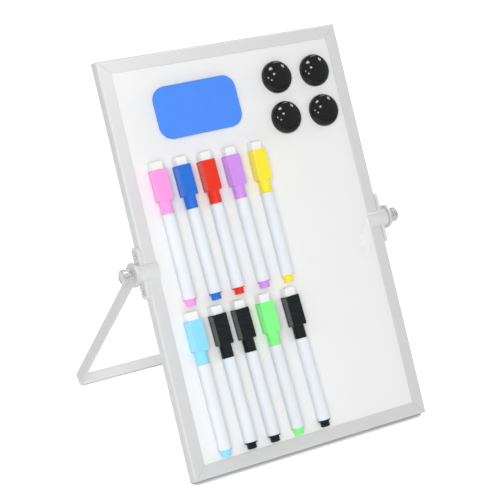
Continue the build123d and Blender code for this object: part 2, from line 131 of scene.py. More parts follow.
class EaselPlasticSettings(bpy.types.PropertyGroup):
    """Finishes of the sheet, the brackets and the moulded pieces."""
    sheet_colour: FloatVectorProperty(
        name="Sheet", description="Colour of the dry-wipe coating", subtype="COLOR",
        default=(0.86, 0.86, 0.86))
    bracket_colour: FloatVectorProperty(
        name="Brackets", description="Colour of the moulded brackets", subtype="COLOR",
        default=(0.71, 0.71, 0.71))
    barrel_colour: FloatVectorProperty(
        name="Barrels", description="Colour of the pens' barrels", subtype="COLOR",
        default=(0.755, 0.80, 0.845))
    foam_colour: FloatVectorProperty(
        name="Eraser", description="Colour of the eraser's foam", subtype="COLOR",
        default=(0.07, 0.275, 0.98))
    felt_colour: FloatVectorProperty(
        name="Felt", description="Colour of the wiping pads", subtype="COLOR", default=(0.89, 0.91, 0.89))


class EaselSizeSettings(bpy.types.PropertyGroup):
    """Sizes of the details that are modelled here."""
    rib_pitch: FloatProperty(
        name="Rib pitch", description="Spacing of the grip ribs on a cap", unit="LENGTH", default=0.9 * MM)
    rib_width: FloatProperty(
        name="Rib width", description="Width of a grip rib at its foot", unit="LENGTH", default=0.5 * MM)
    rib_height: FloatProperty(
        name="Rib height", description="How far a grip rib stands out", unit="LENGTH", default=0.2 * MM)
    rib_slant: FloatProperty(
        name="Rib slant", description="Angle from the cap's length to its ribs", unit="ROTATION",
        default=math.radians(-28))
    dome_steps: IntProperty(
        name="Dome steps", description="Sides of each magnet's round cover", default=96, min=24, max=256)
    barrel_steps: IntProperty(
        name="Barrel steps", description="Sides of each round barrel", default=48, min=16, max=128)


class EaselStageSettings(bpy.types.PropertyGroup):
    """Camera, lamps and floor."""
    camera_place: FloatVectorProperty(
        name="Camera", description="Where the camera stands", subtype="XYZ", unit="LENGTH",
        default=(-0.6171, -0.94635, 0.66713))
    camera_turn: FloatVectorProperty(
        name="Camera turn", description="How the camera is turned", subtype="EULER", unit="ROTATION",
        default=tuple(math.radians(a) for a in (64.4116, -2.0474, -31.7730)))
    lens: FloatProperty(name="Lens", description="Focal length in millimetres", default=121.68, min=10)
    fill: FloatProperty(
        name="Fill light", description="Strength of the white room round the object", default=0.34, min=0)
    gloss_room: FloatProperty(
        name="Room in reflections", description="How bright the room looks in glossy surfaces",
        default=0.50, min=0)


SETTINGS = {
    "easel_metal": EaselMetalSettings,
    "easel_plastic": EaselPlasticSettings,
    "easel_sizes": EaselSizeSettings,
    "easel_stage": EaselStageSettings,
}


# ---------------------------------------------------------------- node trees
def add_node(tree, kind, inputs=None, **settings):
    """Adds a node, sets it up, and gives its inputs a value or a link."""
    node = tree.nodes.new(kind)
    for name, value in settings.items():
        setattr(node, name, value)
    for name, value in (inputs or {}).items():
        if isinstance(value, bpy.types.NodeSocket):
            tree.links.new(value, node.inputs[name])
        else:
            node.inputs[name].default_value = value
    return node


def math_node(tree, operation, first, second):
    return add_node(tree, "ShaderNodeMath", {0: first, 1: second}, operation=operation).outputs[0]


def mix_value(tree, factor, first, second):
    return add_node(tree, "ShaderNodeMix", {0: factor, 2: first, 3: second}).outputs[0]


def mix_colour(tree, factor, first, second):
    return add_node(tree, "ShaderNodeMix", {0: factor, 6: first, 7: second}, data_type="RGBA").outputs[2]


def map_range(tree, value, from_low, from_high, to_low=0.0, to_high=1.0):
    """Carries a value from one range to another, and holds it at the ends."""
    return add_node(tree, "ShaderNodeMapRange",
                    {0: value, 1: from_low, 2: from_high, 3: to_low, 4: to_high}).outputs[0]


def spread(tree, value, low, high):
    """A 0 to 1 value stretched between two numbers."""
    return map_range(tree, value, 0.0, 1.0, low, high)


def noise(tree, vector, scale, detail, roughness=0.5, distortion=0.0):
    return add_node(tree, "ShaderNodeTexNoise",
                    {"Vector": vector, "Scale": scale, "Detail": detail, "Roughness": roughness,
                     "Distortion": distortion}).outputs["Fac"]


def mapped(tree, vector, turn, stretch=(1, 1, 1)):
    """Coordinates stretched along their axes, then turned."""
    return add_node(tree, "ShaderNodeMapping",
                    {"Vector": vector, "Rotation": turn, "Scale": stretch}).outputs[0]


def opaque(colour, share=1.0):
    """A colour scaled by a share, with an alpha of 1."""
    return (*(c * share for c in colour), 1.0)


def paler(colour, share):
    """A colour carried a share of the way to white."""
    return [c + (1 - c) * share for c in colour]


def new_group(name, inputs, outputs):
    """An empty shader node group with named sockets. inputs maps a name to (socket type, default)."""
    group = bpy.data.node_groups.new(name, "ShaderNodeTree")
    for socket, (kind, default) in inputs.items():
        made = group.interface.new_socket(socket, in_out="INPUT", socket_type=kind)
        if default is not None:
            made.default_value = default
    for socket, kind in outputs.items():
        group.interface.new_socket(socket, in_out="OUTPUT", socket_type=kind)
    return group, group.nodes.new("NodeGroupInput").outputs, group.nodes.new("NodeGroupOutput").inputs


def moulded_skin_group():
    """Fine spark-eroded texture of moulded plastic, with a slow unevenness in its gloss."""
    group, given, result = new_group(
        "Moulded skin",
        {"Vector": ("NodeSocketVector", None), "Grain": ("NodeSocketFloat", 0.25 * MM)},
        {"Height": "NodeSocketFloat", "Gloss": "NodeSocketFloat"})
    scale = math_node(group, "DIVIDE", 1.0, given["Grain"])
    group.links.new(noise(group, given["Vector"], scale, 3.0, 0.6), result["Height"])
    group.links.new(noise(group, given["Vector"], 45.0, 2.0), result["Gloss"])
    return group


def drawn_grain_group():
    """Long fine lines that an extruded or rolled bar has along its length, X."""
    group, given, result = new_group(
        "Drawn grain",
        {"Vector": ("NodeSocketVector", None), "Pitch": ("NodeSocketFloat", 0.3 * MM),
         "Stretch": ("NodeSocketFloat", 60.0)},
        {"Lines": "NodeSocketFloat", "Clouds": "NodeSocketFloat"})
    across = math_node(group, "DIVIDE", 1.0, given["Pitch"])
    along = math_node(group, "DIVIDE", across, given["Stretch"])
    scale = add_node(group, "ShaderNodeCombineXYZ", {0: along, 1: across, 2: across}).outputs[0]
    placed = add_node(group, "ShaderNodeVectorMath", {0: given["Vector"], 1: scale},
                      operation="MULTIPLY").outputs[0]
    group.links.new(noise(group, placed, 1.0, 4.0, 0.65), result["Lines"])
    group.links.new(noise(group, given["Vector"], 28.0, 3.0), result["Clouds"])
    return group


def fibre_mat_group():
    """Pressed fibres: two crossed layers of stretched, warped noise."""
    group, given, result = new_group(
        "Pressed fibres",
        {"Vector": ("NodeSocketVector", None), "Fibre": ("NodeSocketFloat", 0.12 * MM)},
        {"Height": "NodeSocketFloat", "Tufts": "NodeSocketFloat"})
    scale = math_node(group, "DIVIDE", 1.0, given["Fibre"])
    layers = []
    for turn, stretch in (((0.4, 0.3, 0.5), (0.12, 1.0, 1.0)), ((1.1, -0.5, 2.0), (1.0, 0.15, 1.0))):
        fibres = mapped(group, given["Vector"], turn, stretch)
        layers.append(noise(group, fibres, scale, 3.0, 0.7, 1.2))
    group.links.new(math_node(group, "MAXIMUM", *layers), result["Height"])
    group.links.new(noise(group, given["Vector"], 900.0, 2.0), result["Tufts"])
    return group


def hairline_group():
    """Sparse hairline scratches and soft smudges from handling."""
    group, given, result = new_group(
        "Handling marks",
        {"Vector": ("NodeSocketVector", None), "Reach": ("NodeSocketFloat", 30.0 * MM)},
        {"Scratches": "NodeSocketFloat", "Smudges": "NodeSocketFloat"})
    scale = math_node(group, "DIVIDE", 1.0, given["Reach"])
    strokes = []
    for turn in ((0.2, 0.1, 0.6), (0.3, 0.4, 1.9), (0.1, -0.3, -0.7)):
        streaks = mapped(group, given["Vector"], turn, (1.0, 40.0, 40.0))
        strokes.append(map_range(group, noise(group, streaks, scale, 2.0, distortion=0.25), 0.69, 0.73))
    both = math_node(group, "MAXIMUM", strokes[0], strokes[1])
    group.links.new(math_node(group, "MAXIMUM", both, strokes[2]), result["Scratches"])
    smudges = noise(group, given["Vector"], scale, 5.0, 0.6, 0.6)
    group.links.new(map_range(group, smudges, 0.45, 0.75), result["Smudges"])
    return group


GROUPS = {}


def effect(tree, make, **inputs):
    """Places a shared effect, which is built the first time it is asked for."""
    if make.__name__ not in GROUPS:
        GROUPS[make.__name__] = make()
    return add_node(tree, "ShaderNodeGroup", {name.capitalize(): value for name, value in inputs.items()},
                    node_tree=GROUPS[make.__name__]).outputs


def empty_tree(owner):
    """The cleared node tree of a material or world."""
    owner.use_nodes = True
    owner.node_tree.nodes.clear()
    return owner.node_tree


def new_material(name, **settings):
    """A material with one Principled shader. Returns it, its tree, the shader and object coordinates."""
    material = bpy.data.materials.new(name)
    tree = empty_tree(material)
    shader = tree.nodes.new("ShaderNodeBsdfPrincipled")
    add_node(tree, "ShaderNodeOutputMaterial", {0: shader.outputs[0]})
    for socket, value in settings.items():
        shader.inputs[socket.replace("_", " ").title().replace("Ior", "IOR")].default_value = value
    place = tree.nodes.new("ShaderNodeTexCoord").outputs["Object"]
    return material, tree, shader, place


def turned_to(tree, place, turn):
    """Object coordinates centred on the hinge, then turned into a piece's own axes."""
    moved = add_node(tree, "ShaderNodeVectorMath", {0: place, 1: HINGE}, operation="SUBTRACT").outputs[0]
    return mapped(tree, moved, turn)


def bump(tree, shader, height, distance, strength=1.0, normal=None):
    node = add_node(tree, "ShaderNodeBump", {"Height": height, "Distance": distance, "Strength": strength})
    if normal is not None:
        tree.links.new(normal, node.inputs["Normal"])
    tree.links.new(node.outputs[0], shader.inputs["Normal"])
    return node.outputs[0]


def board_axes(quarter=0):
    """Turn from the shared frame to the board's axes, with X up the board for a quarter turn."""
    return (Matrix.Rotation(-quarter * math.pi / 2, 3, "Z") @ Matrix.Rotation(-BOARD_TILT, 3, "X")).to_euler()


# ---------------------------------------------------------------- materials
def satin_aluminium(name, colour, roughness, turn):
    """Anodised aluminium with faint lines along the bar."""
    material, tree, shader, place = new_material(name, metallic=ANODISED_METALLIC)
    along = turned_to(tree, place, turn)
    grain = effect(tree, drawn_grain_group, vector=along, pitch=0.28 * MM, stretch=80.0)
    marks = effect(tree, hairline_group, vector=along, reach=40 * MM)
    tone = mix_colour(tree, grain["Lines"], opaque(colour, 0.95), opaque(colour, 1.04))
    tone = mix_colour(tree, spread(tree, grain["Clouds"], 0.0, 0.5), tone, opaque(colour, 0.98))
    tree.links.new(tone, shader.inputs["Base Color"])
    gloss = math_node(tree, "ADD", spread(tree, grain["Clouds"], roughness - 0.04, roughness + 0.04),
                      spread(tree, marks["Scratches"], 0.0, -0.05))
    tree.links.new(gloss, shader.inputs["Roughness"])
    lines = bump(tree, shader, grain["Lines"], 0.006 * MM)
    bump(tree, shader, math_node(tree, "SUBTRACT", 1.0, marks["Scratches"]), 0.004 * MM, normal=lines)
    return material


def bent_bar_aluminium(colour, roughness):
    """The stand's flat bar: its lines run down the legs and across the foot."""
    material, tree, shader, place = new_material("stand_satin_aluminium", metallic=ANODISED_METALLIC)
    local = turned_to(tree, place, (-STAND_TURN, 0, 0))
    legwise = mapped(tree, local, (0, 0, math.pi / 2))
    foot = effect(tree, drawn_grain_group, vector=local, pitch=0.3 * MM, stretch=70.0)
    legs = effect(tree, drawn_grain_group, vector=legwise, pitch=0.3 * MM, stretch=70.0)
    along = add_node(tree, "ShaderNodeSeparateXYZ", {0: local}).outputs["Y"]
    lines = mix_value(tree, math_node(tree, "GREATER_THAN", along, LEG_END), foot["Lines"], legs["Lines"])
    tree.links.new(mix_colour(tree, lines, opaque(colour, 0.94), opaque(colour, 1.05)),
                   shader.inputs["Base Color"])
    tree.links.new(spread(tree, foot["Clouds"], roughness - 0.05, roughness + 0.05),
                   shader.inputs["Roughness"])
    bump(tree, shader, lines, 0.008 * MM)
    return material


def dry_wipe_coating(colour):
    """Gloss white lacquer on steel: a slow waviness, and soft wipe marks in the gloss only."""
    material, tree, shader, place = new_material("dry_wipe_coating", coat_weight=0.25, coat_roughness=0.12)
    local = turned_to(tree, place, board_axes())
    marks = effect(tree, hairline_group, vector=local, reach=60 * MM)
    tree.links.new(mix_colour(tree, spread(tree, marks["Smudges"], 0.0, 0.5), opaque(colour),
                              opaque(colour, 0.998)), shader.inputs["Base Color"])
    tree.links.new(spread(tree, marks["Smudges"], 0.26, 0.28), shader.inputs["Roughness"])
    bump(tree, shader, noise(tree, local, 220.0, 2.0), 0.003 * MM)
    return material


def moulded_plastic(name, colour, roughness, grain=0.3, depth=0.010, scuffs=0.5, specular=0.5):
    """Injection-moulded plastic: uneven gloss, a few hairlines and a skin whose grain is in millimetres."""
    material, tree, shader, place = new_material(name, specular_ior_level=specular)
    skin = effect(tree, moulded_skin_group, vector=place, grain=grain * MM)
    marks = effect(tree, hairline_group, vector=place, reach=12 * MM)
    tone = mix_colour(tree, skin["Gloss"], opaque(colour, 0.94), opaque(colour, 1.05))
    scuffed = spread(tree, marks["Scratches"], 0.0, scuffs)
    tree.links.new(mix_colour(tree, scuffed, tone, opaque(paler(colour, 0.12))), shader.inputs["Base Color"])
    tree.links.new(spread(tree, skin["Gloss"], roughness - 0.07, roughness + 0.07),
                   shader.inputs["Roughness"])
    bump(tree, shader, skin["Height"], depth * MM)
    return material


def gloss_black():
    """Deep gloss black cover with very fine dust and polishing marks."""
    black, dust_grey = (0.0045, 0.005, 0.0055), (0.03, 0.03, 0.03)
    material, tree, shader, place = new_material("gloss_black_cover", ior=1.5, specular_ior_level=0.4)
    marks = effect(tree, hairline_group, vector=place, reach=9 * MM)
    dust = add_node(tree, "ShaderNodeTexVoronoi", {"Vector": place, "Scale": 900.0}).outputs["Distance"]
    specks = map_range(tree, dust, 0.09, 0.05)
    tree.links.new(mix_colour(tree, specks, opaque(black), opaque(dust_grey)), shader.inputs["Base Color"])
    gloss = math_node(tree, "ADD", spread(tree, marks["Smudges"], 0.05, 0.11),
                      spread(tree, marks["Scratches"], 0.0, 0.10))
    tree.links.new(gloss, shader.inputs["Roughness"])
    return material


def nickel_plate(name, colour, roughness):
    """Bright nickel over turned steel: rings round the screw's axis under the plating."""
    material, tree, shader, place = new_material(name, metallic=1.0)
    local = turned_to(tree, place, (0, 0, 0))
    rings = add_node(tree, "ShaderNodeTexWave", {"Vector": local, "Scale": 900.0, "Distortion": 0.6,
                                                 "Detail": 2.0, "Detail Scale": 2.0},
                     wave_type="RINGS", rings_direction="X").outputs["Fac"]
    marks = effect(tree, hairline_group, vector=place, reach=5 * MM)
    tone = mix_colour(tree, marks["Smudges"], opaque(colour), opaque(colour, 0.9))
    tree.links.new(tone, shader.inputs["Base Color"])
    tree.links.new(spread(tree, marks["Smudges"], roughness, roughness + 0.10), shader.inputs["Roughness"])
    bump(tree, shader, rings, 0.004 * MM)
    return material


def cell_foam(colour):
    """Closed-cell foam sheet: skinned cells a third of a millimetre wide, with painted shade that darkens the
    sunk edges between them.
    """
    material, tree, shader, place = new_material("eraser_cell_foam", sheen_weight=0.08, sheen_roughness=0.5)
    cells = add_node(tree, "ShaderNodeTexVoronoi", {"Vector": place, "Scale": 2600.0}).outputs["Distance"]
    blotch = noise(tree, place, 160.0, 5.0, 0.65)
    tone = mix_colour(tree, blotch, opaque(colour, 0.90), opaque(colour, 1.10))
    pits_and_painted_shade = map_range(tree, cells, 0.0, 0.45)
    # Painted shade: the colour darkens where the bump sinks between the cells.
    tone = mix_colour(tree, math_node(tree, "MULTIPLY", pits_and_painted_shade, 0.25), tone, opaque(colour, 0.72))
    tree.links.new(tone, shader.inputs["Base Color"])
    tree.links.new(spread(tree, blotch, 0.62, 0.82), shader.inputs["Roughness"])
    bump(tree, shader, math_node(tree, "SUBTRACT", 1.0, pits_and_painted_shade), 0.05 * MM, strength=0.7)
    return material


def pressed_felt(name, colour, fibre=0.10):
    """Dense wool-like felt, with the width of its fibres in millimetres."""
    material, tree, shader, place = new_material(name, sheen_weight=0.25, sheen_roughness=0.6)
    mat = effect(tree, fibre_mat_group, vector=place, fibre=fibre * MM)
    tone = mix_colour(tree, mat["Height"], opaque(colour, 0.90), opaque(colour, 1.06))
    tone = mix_colour(tree, spread(tree, mat["Tufts"], 0.0, 0.3), tone, opaque(colour, 0.92))
    tree.links.new(tone, shader.inputs["Base Color"])
    tree.links.new(spread(tree, mat["Tufts"], 0.85, 0.98), shader.inputs["Roughness"])
    bump(tree, shader, mat["Height"], 0.09 * MM, strength=0.8)
    return material


# ---------------------------------------------------------------- modelling
def finished_piece(name, bm, material, body, place, *nodes, slot=None):
    """Makes bm, in millimetres in its own axes, an object whose place is in its mesh."""
    bm.transform(place @ Matrix.Scale(MM, 4))
    bmesh.ops.remove_doubles(bm, verts=bm.verts, dist=MERGE * MM)
    bmesh.ops.recalc_face_normals(bm, faces=bm.faces)
    mesh = bpy.data.meshes.new(name)
    for face in bm.faces:
        face.smooth = True
    for edge in bm.edges:
        if len(edge.link_faces) == 2 and edge.calc_face_angle(0.0) > SMOOTH_UNDER:
            edge.smooth = False
    bm.to_mesh(mesh)
    bm.free()
    mesh.materials.append(material)
    piece = bpy.data.objects.new(name, mesh)
    bpy.context.scene.collection.objects.link(piece)
    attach(piece, body)
    if nodes:
        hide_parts(*nodes)
    return piece


def outline(bm, points):
    """A chain of edges in the XZ plane through (radius, height) points. Returns its vertices."""
    verts = [bm.verts.new((radius, 0, height)) for radius, height in points]
    for first, second in zip(verts, verts[1:]):
        bm.edges.new((first, second))
    return verts


def arc_on(bm, vert, centre, angle, steps):
    """Carries an outline on from its last vertex, round a centre in the XZ plane."""
    made = bmesh.ops.spin(bm, geom=[vert], cent=(centre[0], 0, centre[1]), axis=(0, 1, 0), angle=-angle,
                          steps=steps)
    return next(g for g in made["geom_last"] if isinstance(g, bmesh.types.BMVert))


def lathe(bm, steps):
    """Turns the outline in bm about Z."""
    bmesh.ops.spin(bm, geom=bm.verts[:] + bm.edges[:], cent=(0, 0, 0), axis=(0, 0, 1), angle=2 * math.pi,
                   steps=steps, use_merge=True)
    bmesh.ops.remove_doubles(bm, verts=bm.verts, dist=MERGE)


def round_edges(bm, edges, radius, steps):
    bmesh.ops.bevel(bm, geom=edges, offset=radius, offset_type="OFFSET", affect="EDGES", segments=steps,
                    profile=0.5, material=-1, clamp_overlap=True)


def rounded_block(size, corner, edge, steps):
    """A block standing on Z = 0 with rounded upright corners and a rounded top edge."""
    height = size[2]
    bm = bmesh.new()
    bmesh.ops.create_cube(bm, size=1.0,
                          matrix=Matrix.Translation((0, 0, height / 2)) @ Matrix.Diagonal((*size, 1)))
    upright = [e for e in bm.edges if abs(e.verts[0].co.z - e.verts[1].co.z) > height / 2]
    round_edges(bm, upright, corner, steps)
    top = [e for e in bm.edges if all(v.co.z > height - 1e-4 for v in e.verts)]
    round_edges(bm, top, edge, 4)
    return bm


def cut_through(bm, at, normal, drop_beyond=False):
    """Cuts the whole mesh along a plane."""
    bmesh.ops.bisect_plane(bm, geom=bm.verts[:] + bm.edges[:] + bm.faces[:], plane_co=at, plane_no=normal,
                           clear_outer=drop_beyond, dist=ON_PLANE)


def board_place(across, up, turn=0.0, out=SHEET_SURFACE):
    """A piece's own axes on the board: across and up in millimetres, turn in degrees, out in metres."""
    on_board = Matrix.Translation((across * MM, up * MM, out))
    return BOARD @ on_board @ Matrix.Rotation(math.radians(turn), 4, "Z")


def marker_place(across, mouth, turn):
    """The marker's own axes: Z up the marker from the cap's mouth, X across, Y towards the board."""
    on_axis = board_place(across, mouth, turn, SHEET_SURFACE + MARKER_AXIS)
    return on_axis @ Matrix.Rotation(-math.pi / 2, 4, "X")


def repaint(nodes, material):
    """Gives CAD nodes a new material in place of their own."""
    for name in nodes:
        NODES[name].data.materials.clear()
        NODES[name].data.materials.append(material)


# ---------------------------------------------------------------- operators
class EASEL_OT_frame(bpy.types.Operator):
    """Finish the rails, the panel and the keys inside the corners"""
    bl_idname = "easel.finish_frame"
    bl_label = "Frame and Panel"

    def execute(self, context):
        metal, plastic = context.scene.easel_metal, context.scene.easel_plastic
        repaint(("rail_top", "rail_bottom"),
                satin_aluminium("rail_aluminium_level", metal.rail_colour, metal.satin, board_axes()))
        repaint(("rail_left", "rail_right"),
                satin_aluminium("rail_aluminium_upright", metal.rail_colour, metal.satin, board_axes(1)))
        repaint(("writing_sheets",), dry_wipe_coating(plastic.sheet_colour))
        core = moulded_plastic("core_panel", (0.62, 0.55, 0.42), roughness=0.8, grain=0.9, depth=0.05)
        repaint(("board_core",), core)
        repaint(("corner_keys",), moulded_plastic("corner_key_nylon", (0.25, 0.25, 0.26), roughness=0.5))
        return {"FINISHED"}


class EASEL_OT_brackets(bpy.types.Operator):
    """Finish the hinge brackets with their screws and nuts"""
    bl_idname = "easel.finish_brackets"
    bl_label = "Hinge Brackets"

    def execute(self, context):
        metal, plastic = context.scene.easel_metal, context.scene.easel_plastic
        repaint(("bracket_left", "bracket_right"),
                moulded_plastic("bracket_plastic", plastic.bracket_colour, roughness=0.18, grain=0.35,
                                depth=0.003, scuffs=0.3))
        nickel = nickel_plate("bright_nickel", metal.nickel_colour, metal.polish)
        repaint(("bracket_screws", "pivot_nuts", "thumb_screw_left", "thumb_screw_right"), nickel)
        return {"FINISHED"}


class EASEL_OT_stand(bpy.types.Operator):
    """Finish the stand's bent flat bar"""
    bl_idname = "easel.finish_stand"
    bl_label = "Stand"

    def execute(self, context):
        metal = context.scene.easel_metal
        repaint(("stand",), bent_bar_aluminium(metal.stand_colour, metal.satin))
        return {"FINISHED"}


class EASEL_OT_magnets(bpy.types.Operator):
    """Model the domed round magnets"""
    bl_idname = "easel.make_magnets"
    bl_label = "Round Magnets"

    def execute(self, context):
        steps = context.scene.easel_sizes.dome_steps
        black = gloss_black()
        disc_steel = nickel_plate("magnet_disc_nickel", (0.5, 0.5, 0.5), 0.35)
        radius, rim, height, foot_bevel = 12.2, 1.8, 7.2, 0.25
        shoulder, shoulder_steps, crown_steps = 3.6, 12, 20
        disc_radius, disc_low, disc_high, disc_bevel = 8.0, 0.2, 3.2, 0.3
        pocket_fit, mouth_bevel = 0.05, 0.15
        pocket, pocket_end = disc_radius + pocket_fit, disc_high + pocket_fit
        shoulder_centre = radius - shoulder
        rise = height - rim
        crown = (shoulder_centre ** 2 + rise ** 2 - shoulder ** 2) / (2 * (rise - shoulder))
        shoulder_arc = math.acos(shoulder_centre / (crown - shoulder))
        for number, (across, up) in enumerate(MAGNETS, start=1):
            node = body = f"board_magnet_{number}"
            bm = bmesh.new()
            last = outline(bm, ((0, pocket_end), (pocket, pocket_end), (pocket, mouth_bevel),
                                (pocket + mouth_bevel, 0), (radius - foot_bevel, 0), (radius, foot_bevel),
                                (radius, rim)))[-1]
            last = arc_on(bm, last, (shoulder_centre, rim), shoulder_arc, shoulder_steps)
            arc_on(bm, last, (0, height - crown), math.pi / 2 - shoulder_arc, crown_steps)
            lathe(bm, steps)
            finished_piece(f"magnet_cover_{number}", bm, black, body, board_place(across, up), node,
                           slot="magnet_black")
            bm = bmesh.new()
            outline(bm, ((0, disc_low), (disc_radius - disc_bevel, disc_low),
                         (disc_radius, disc_low + disc_bevel), (disc_radius, disc_high - disc_bevel),
                         (disc_radius - disc_bevel, disc_high), (0, disc_high)))
            lathe(bm, steps // 2)
            finished_piece(f"magnet_disc_{number}", bm, disc_steel, body, board_place(across, up), node)
        return {"FINISHED"}


class EASEL_OT_eraser(bpy.types.Operator):
    """Model the magnetic foam eraser with its felt face"""
    bl_idname = "easel.make_eraser"
    bl_label = "Eraser"

    def execute(self, context):
        plastic = context.scene.easel_plastic
        place = board_place(*ERASER)
        length, width, corner, corner_steps = 67.9, 38.2, 10.0, 14
        foam_thickness, foam_edge = 2.8, 0.7
        felt_thickness, felt_edge, felt_inset = 1.4, 0.15, 0.4
        bm = rounded_block((length, width, foam_thickness), corner, foam_edge, corner_steps)
        pillow(bm, foam_thickness, length, width)
        foam = finished_piece("eraser_body", bm, cell_foam(plastic.foam_colour), "eraser",
                              place @ Matrix.Translation((0, 0, felt_thickness * MM)), "eraser_foam",
                              slot="eraser_blue")
        bm = rounded_block((length - 2 * felt_inset, width - 2 * felt_inset, felt_thickness),
                           corner - felt_inset, felt_edge, corner_steps)
        felt = finished_piece("eraser_felt_face", bm,
                              pressed_felt("eraser_felt_blue", (0.05, 0.17, 0.62)), "eraser", place,
                              "eraser_felt", slot="eraser_felt")
        return {"FINISHED"}


def pillow(bm, thickness, length, width):
    """Cuts the top of the foam into a grid and lets it swell a little towards its middle."""
    swell, sunk_rim = 0.18, 0.08
    for axis, size, cells in (((1, 0, 0), length, 16), ((0, 1, 0), width, 10)):
        for line in range(1, cells):
            cut_through(bm, Vector(axis) * size * (line / cells - 0.5), axis)
    for vert in bm.verts:
        if vert.co.z > thickness - 1e-3:
            inward = (1 - (2 * vert.co.x / length) ** 2) * (1 - (2 * vert.co.y / width) ** 2)
            vert.co.z += swell * inward - sunk_rim


def cap_ribs(sizes, side):
    """Slanted grip ribs over one side of a cap and round its front corner, in the marker's axes."""
    pitch, foot, height = sizes.rib_pitch / MM, sizes.rib_width / MM, sizes.rib_height / MM
    low, high = 10.6, 31.0            # along the cap, from its mouth
    back, front = 5.2, -0.5           # along its side, from where the front corner starts
    uncut_length, crest_share = 60, 0.35
    bm = bmesh.new()
    slant = Matrix.Rotation(sizes.rib_slant, 4, "X")
    count = int((high - low) * abs(math.sin(sizes.rib_slant)) / pitch) + int((back - front) / pitch) + 2
    for number in range(-count // 2 - 2, count // 2 + 3):
        rib = bmesh.ops.create_cube(
            bm, size=1.0, matrix=Matrix.Diagonal((2 * height, foot, uncut_length, 1)))["verts"]
        crest = [v for v in rib if v.co.x > 0]
        bmesh.ops.scale(bm, vec=(1, crest_share, 1), verts=crest)
        bmesh.ops.translate(bm, vec=(0, number * pitch, 0), verts=rib)
        bmesh.ops.transform(bm, matrix=slant, verts=rib)
    middle = Vector((0, (back + front) / 2, (high + low) / 2))
    bmesh.ops.translate(bm, vec=middle, verts=bm.verts)
    for at, normal in (((0, 0, low), (0, 0, -1)), ((0, 0, high), (0, 0, 1)),
                       ((0, front, 0), (0, -1, 0)), ((0, back, 0), (0, 1, 0))):
        cut_through(bm, at, normal, drop_beyond=True)
        bmesh.ops.holes_fill(bm, edges=[e for e in bm.edges if e.is_boundary], sides=0)
    for fold in (0, front / 2):
        cut_through(bm, (0, fold, 0), (0, 1, 0))
    wrap_round_corner(bm, CAP_CORNER_START, CAP_DRAW_IN, CAP_CORNER_RADIUS)
    if side < 0:
        bmesh.ops.scale(bm, vec=(-1, 1, 1), verts=bm.verts)
    return bm


def wrap_round_corner(bm, start, draw_in, radius):
    """Bends flat ribs onto the cap: their Y runs along its side from where the front corner starts."""
    sunk = 0.02                       # the ribs' feet reach this far into the cap
    away = Vector((math.cos(draw_in), math.sin(draw_in), 0))
    along = Vector((-math.sin(draw_in), math.cos(draw_in), 0))
    for vert in bm.verts:
        height, distance = vert.co.x - sunk, vert.co.y
        if distance >= 0:
            foot = start + along * distance + away * height
        else:
            turn = Matrix.Rotation(distance / radius, 3, "Z")
            foot = start - away * radius + (turn @ away) * (radius + height)
        vert.co.xy = foot.xy


class EASEL_OT_markers(bpy.types.Operator):
    """Model the pens and finish their caps, plugs and wiping pads"""
    bl_idname = "easel.make_markers"
    bl_label = "Markers"

    def execute(self, context):
        plastic, sizes = context.scene.easel_plastic, context.scene.easel_sizes
        nib_steps = 24
        pad_size, pad_edge, pad_steps = (8.2, 8.2, 7.0), 0.7, 3
        pad_foot = (0, 0.9, 31.2)     # the middle of its seat in the cap's end, in the marker's axes
        white = moulded_plastic("barrel_white", plastic.barrel_colour, roughness=0.42, grain=0.6,
                                depth=0.003, scuffs=0.2, specular=0.2)
        felt = pressed_felt("wiping_pad_felt", plastic.felt_colour)
        inks = {ink: moulded_plastic(f"cap_{ink}", colour, roughness=0.15, depth=0.003, specular=0.3)
                for ink, colour in INKS.items()}
        # The ribs' plastic is the cap's colour made paler: a painted highlight on the ribs.
        grips_painted_highlight = {ink: moulded_plastic(f"grip_{ink}", paler(colour, 0.16), roughness=0.45, grain=0.2)
                 for ink, colour in INKS.items()}
        tips = {ink: pressed_felt(f"nib_{ink}", colour, fibre=0.05) for ink, colour in INKS.items()}
        for name, ink, across, mouth, turn in MARKERS:
            place = marker_place(across, mouth, turn)
            cap_body, pen_body = f"{name}_marker_cap", f"{name}_marker_pen"
            repaint((f"{name}_cap", f"{name}_plug"), inks[ink])
            for side, word in ((-1, "left"), (1, "right")):
                finished_piece(f"{name}_ribs_{word}", cap_ribs(sizes, side), grips_painted_highlight[ink], cap_body, place)
            bm = bmesh.new()
            outline(bm, BARREL_SECTION)
            lathe(bm, sizes.barrel_steps)
            finished_piece(f"{name}_barrel_shell", bm, white, pen_body, place, f"{name}_barrel",
                           slot="barrel_white")
            bm = bmesh.new()
            outline(bm, NIB_SECTION)
            lathe(bm, nib_steps)
            finished_piece(f"{name}_nib", bm, tips[ink], pen_body, place, f"{name}_barrel")
            bm = rounded_block(pad_size, pad_edge, pad_edge, pad_steps)
            bmesh.ops.translate(bm, vec=pad_foot, verts=bm.verts)
            pad = finished_piece(f"{name}_pad", bm, felt, cap_body, place, f"{name}_wiping_pad",
                                 slot="pad_felt")
        return {"FINISHED"}


